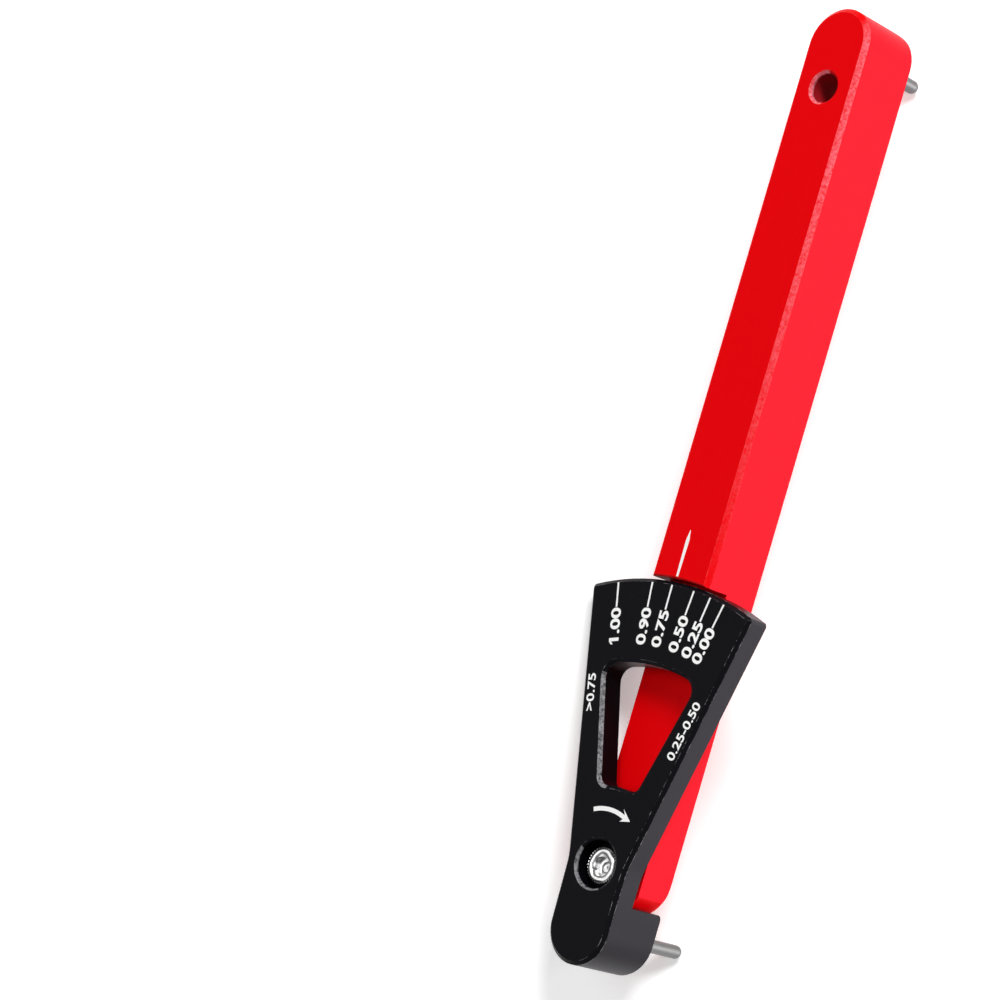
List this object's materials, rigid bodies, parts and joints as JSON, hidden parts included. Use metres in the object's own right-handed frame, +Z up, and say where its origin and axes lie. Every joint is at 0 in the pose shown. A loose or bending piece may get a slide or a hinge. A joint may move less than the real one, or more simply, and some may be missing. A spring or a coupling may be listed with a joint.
{
  "type": "chain wear gauge",
  "caption": "Pocket gauge for bicycle chain wear: a square bar with a fixed pin and a pivoting dial lever whose pin is turned against a roller and read on the printed scale.",
  "frame": {"origin": "middle of the bounding box on the surface it lies on", "axes": "+X along the bar, from the dial end to the hanging hole; +Z up from the surface; the face with the scale leans towards +Y and +Z, as the gauge lies on both pin tips and one dial corner"},
  "size_m": [0.128, 0.0236, 0.0208],
  "materials": {
    "red_bar": "red anodised, satin",
    "black_lever": "black anodised, fine bead-blasted satin",
    "screw": "bright stainless",
    "washer": "spring steel",
    "pins": "ground steel"
  },
  "bodies": {
    "bar": {"bar": "red_bar", "pivot_screw": "screw", "spring_washer": "washer", "fixed_pin": "pins"},
    "dial": {"dial_lever": "black_lever", "measuring_pin": "pins"}
  },
  "joints": [
    {"name": "dial_pivot", "type": "hinge", "parent": "bar", "child": "dial", "pos_m": [-0.05084, 0.00125, 0.01036], "axis": [0, 0.682, 0.7314], "range_deg": [-81, 79]}
  ]
}
